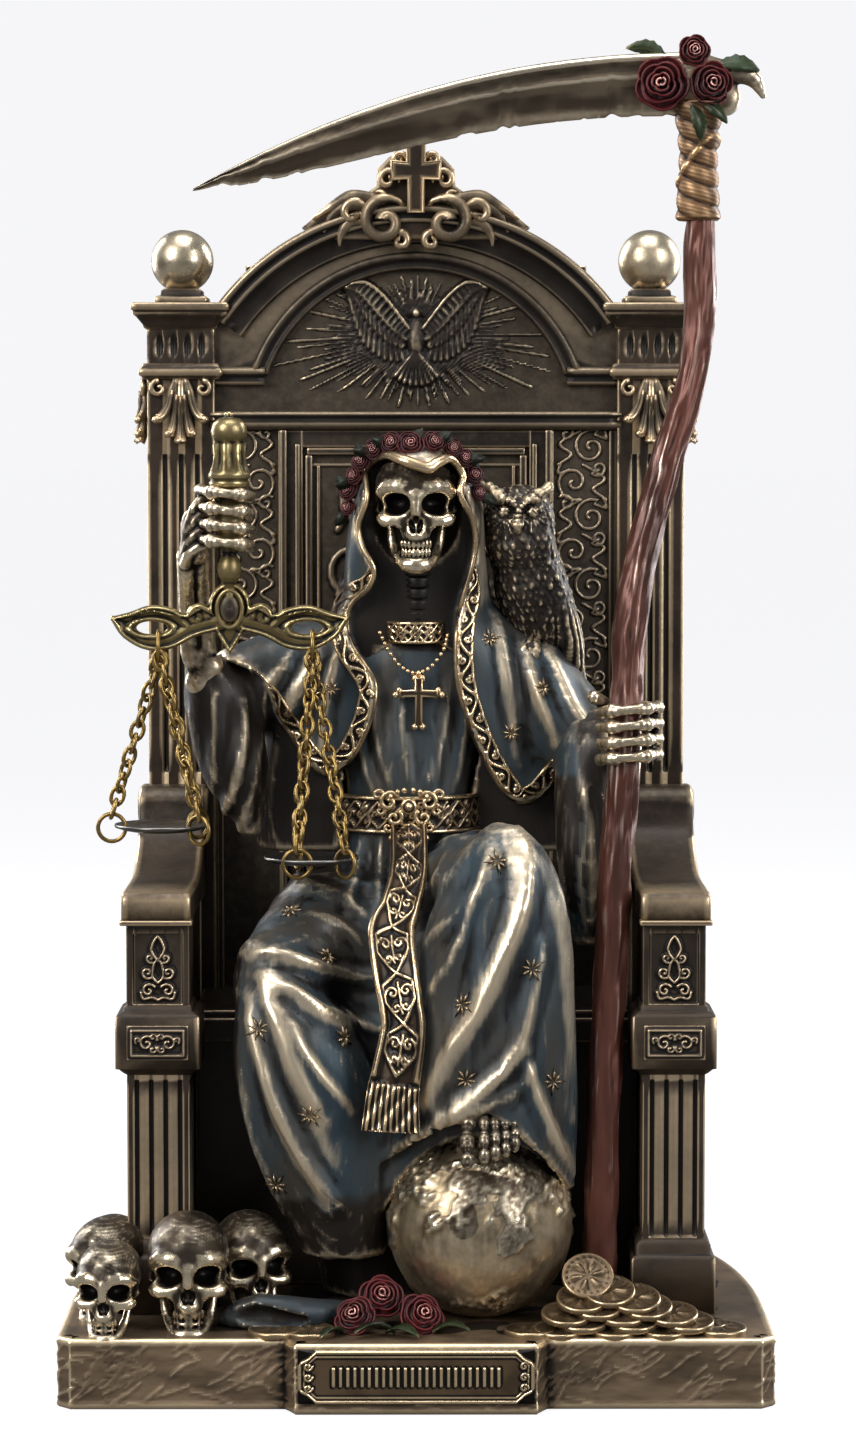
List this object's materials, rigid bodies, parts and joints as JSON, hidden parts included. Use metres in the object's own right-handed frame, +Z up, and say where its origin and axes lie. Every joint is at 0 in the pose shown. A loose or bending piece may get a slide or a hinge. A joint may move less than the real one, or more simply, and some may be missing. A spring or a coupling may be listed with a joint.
{
  "type": "seated robed skeleton statuette",
  "caption": "Cold-cast bronze statuette of a robed skeleton on a carved throne, holding a scythe and a hanging pair of scales, on a low plinth with skulls and a globe.",
  "frame": {"origin": "under the middle of the plinth, on the surface that it stands on", "axes": "+Z up, the figure faces -Y, +X to the viewer's right"},
  "size_m": [0.152, 0.112, 0.2905],
  "materials": {
    "bronze": "antique bronze, rubbed edges",
    "plate_bronze": "antique bronze, gilt rim",
    "robe": "dark blue paint over bronze, rubbed",
    "scythe_wood": "red-brown paint over bronze, rubbed",
    "brass": "antique brass, satin",
    "pan_steel": "dark, satin"
  },
  "bodies": {
    "root": {"plinth": "bronze", "name_plate": "plate_bronze", "throne": "bronze", "figure": "robe", "scythe": "scythe_wood", "balance": "brass", "left_hanging_ring": "brass", "left_pan": "pan_steel", "left_chain_1": "brass", "left_chain_2": "brass", "left_chain_3": "brass", "right_hanging_ring": "brass", "right_pan": "pan_steel", "right_chain_1": "brass", "right_chain_2": "brass", "right_chain_3": "brass"}
  },
  "joints": []
}
